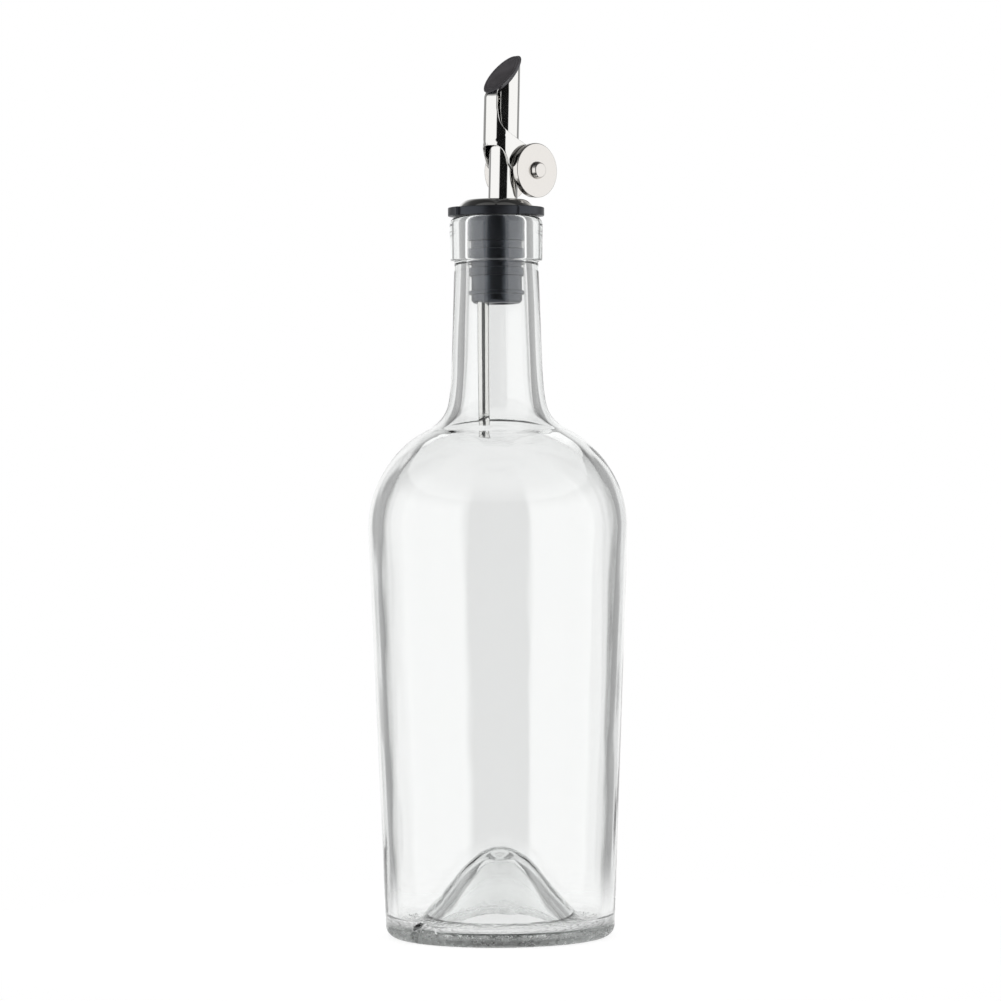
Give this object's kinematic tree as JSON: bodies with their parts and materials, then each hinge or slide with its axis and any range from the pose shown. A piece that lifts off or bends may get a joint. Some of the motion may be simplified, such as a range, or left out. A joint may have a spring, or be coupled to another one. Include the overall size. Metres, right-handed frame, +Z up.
{
  "type": "glass oil bottle",
  "caption": "Clear glass kitchen oil bottle with a push-in stopper and a weighted steel pourer that opens by itself when tipped.",
  "frame": {"origin": "centre of the base, on the bottle's axis, at the plane that the bottle stands on", "axes": "+Z up along the bottle's axis; +X the way that the oil pours, which is also the side of the two weights; the flap turns about an axis along Y"},
  "size_m": [0.083, 0.083, 0.282],
  "materials": {
    "clear_glass": "fire-polished, clear, with a faint grey-green cast where it is thick",
    "black_rubber": "moulded, matte with a soft sheen",
    "polished_steel": "mirror polished",
    "satin_steel": "satin, warm grey"
  },
  "bodies": {
    "bottle": {"glass_bottle": "clear_glass"},
    "pourer": {"stopper": "black_rubber", "dome_cap": "polished_steel", "spout_tube": "polished_steel", "air_tube": "polished_steel", "pivot_stud_near": "polished_steel", "pivot_stud_far": "polished_steel"},
    "flap": {"flap_hood": "polished_steel", "seal_pad": "black_rubber", "weight_disc_near": "satin_steel", "weight_disc_far": "satin_steel", "weight_rivet": "satin_steel"}
  },
  "joints": [
    {"name": "pourer_lift", "type": "slide", "parent": "bottle", "child": "pourer", "axis": [0, 0, 1], "range_m": [0, 0.08]},
    {"name": "flap_tilt", "type": "hinge", "parent": "pourer", "child": "flap", "pos_m": [0.00486, 0, 0.24609], "axis": [0, -1, 0], "range_deg": [0, 46]}
  ]
}
